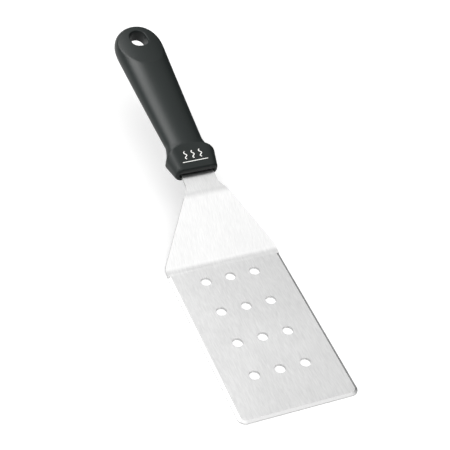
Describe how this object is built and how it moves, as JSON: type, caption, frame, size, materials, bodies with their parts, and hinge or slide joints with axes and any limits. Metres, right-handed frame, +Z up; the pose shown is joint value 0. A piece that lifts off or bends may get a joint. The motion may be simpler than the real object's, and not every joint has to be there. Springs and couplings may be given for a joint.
{
  "type": "grill spatula",
  "caption": "Long-handled grill turner with a bent, perforated steel blade, a bevelled edge, a flared neck and a moulded grip with a hanging hole.",
  "frame": {"origin": "on the blade's flat underside, at the middle of its pattern of drain holes", "axes": "+X across the blade, +Y from the tip towards the handle, +Z up out of the blade's cooking side"},
  "size_m": [0.08, 0.3266, 0.0601],
  "materials": {
    "steel": "brushed along the blade, with a ground bevel",
    "grip_plastic": "satin moulded, fine grain",
    "core_plastic": "matt moulded"
  },
  "bodies": {
    "root": {"blade": "steel", "grip": "grip_plastic", "core_upper": "core_plastic", "core_lower": "core_plastic"}
  },
  "joints": []
}
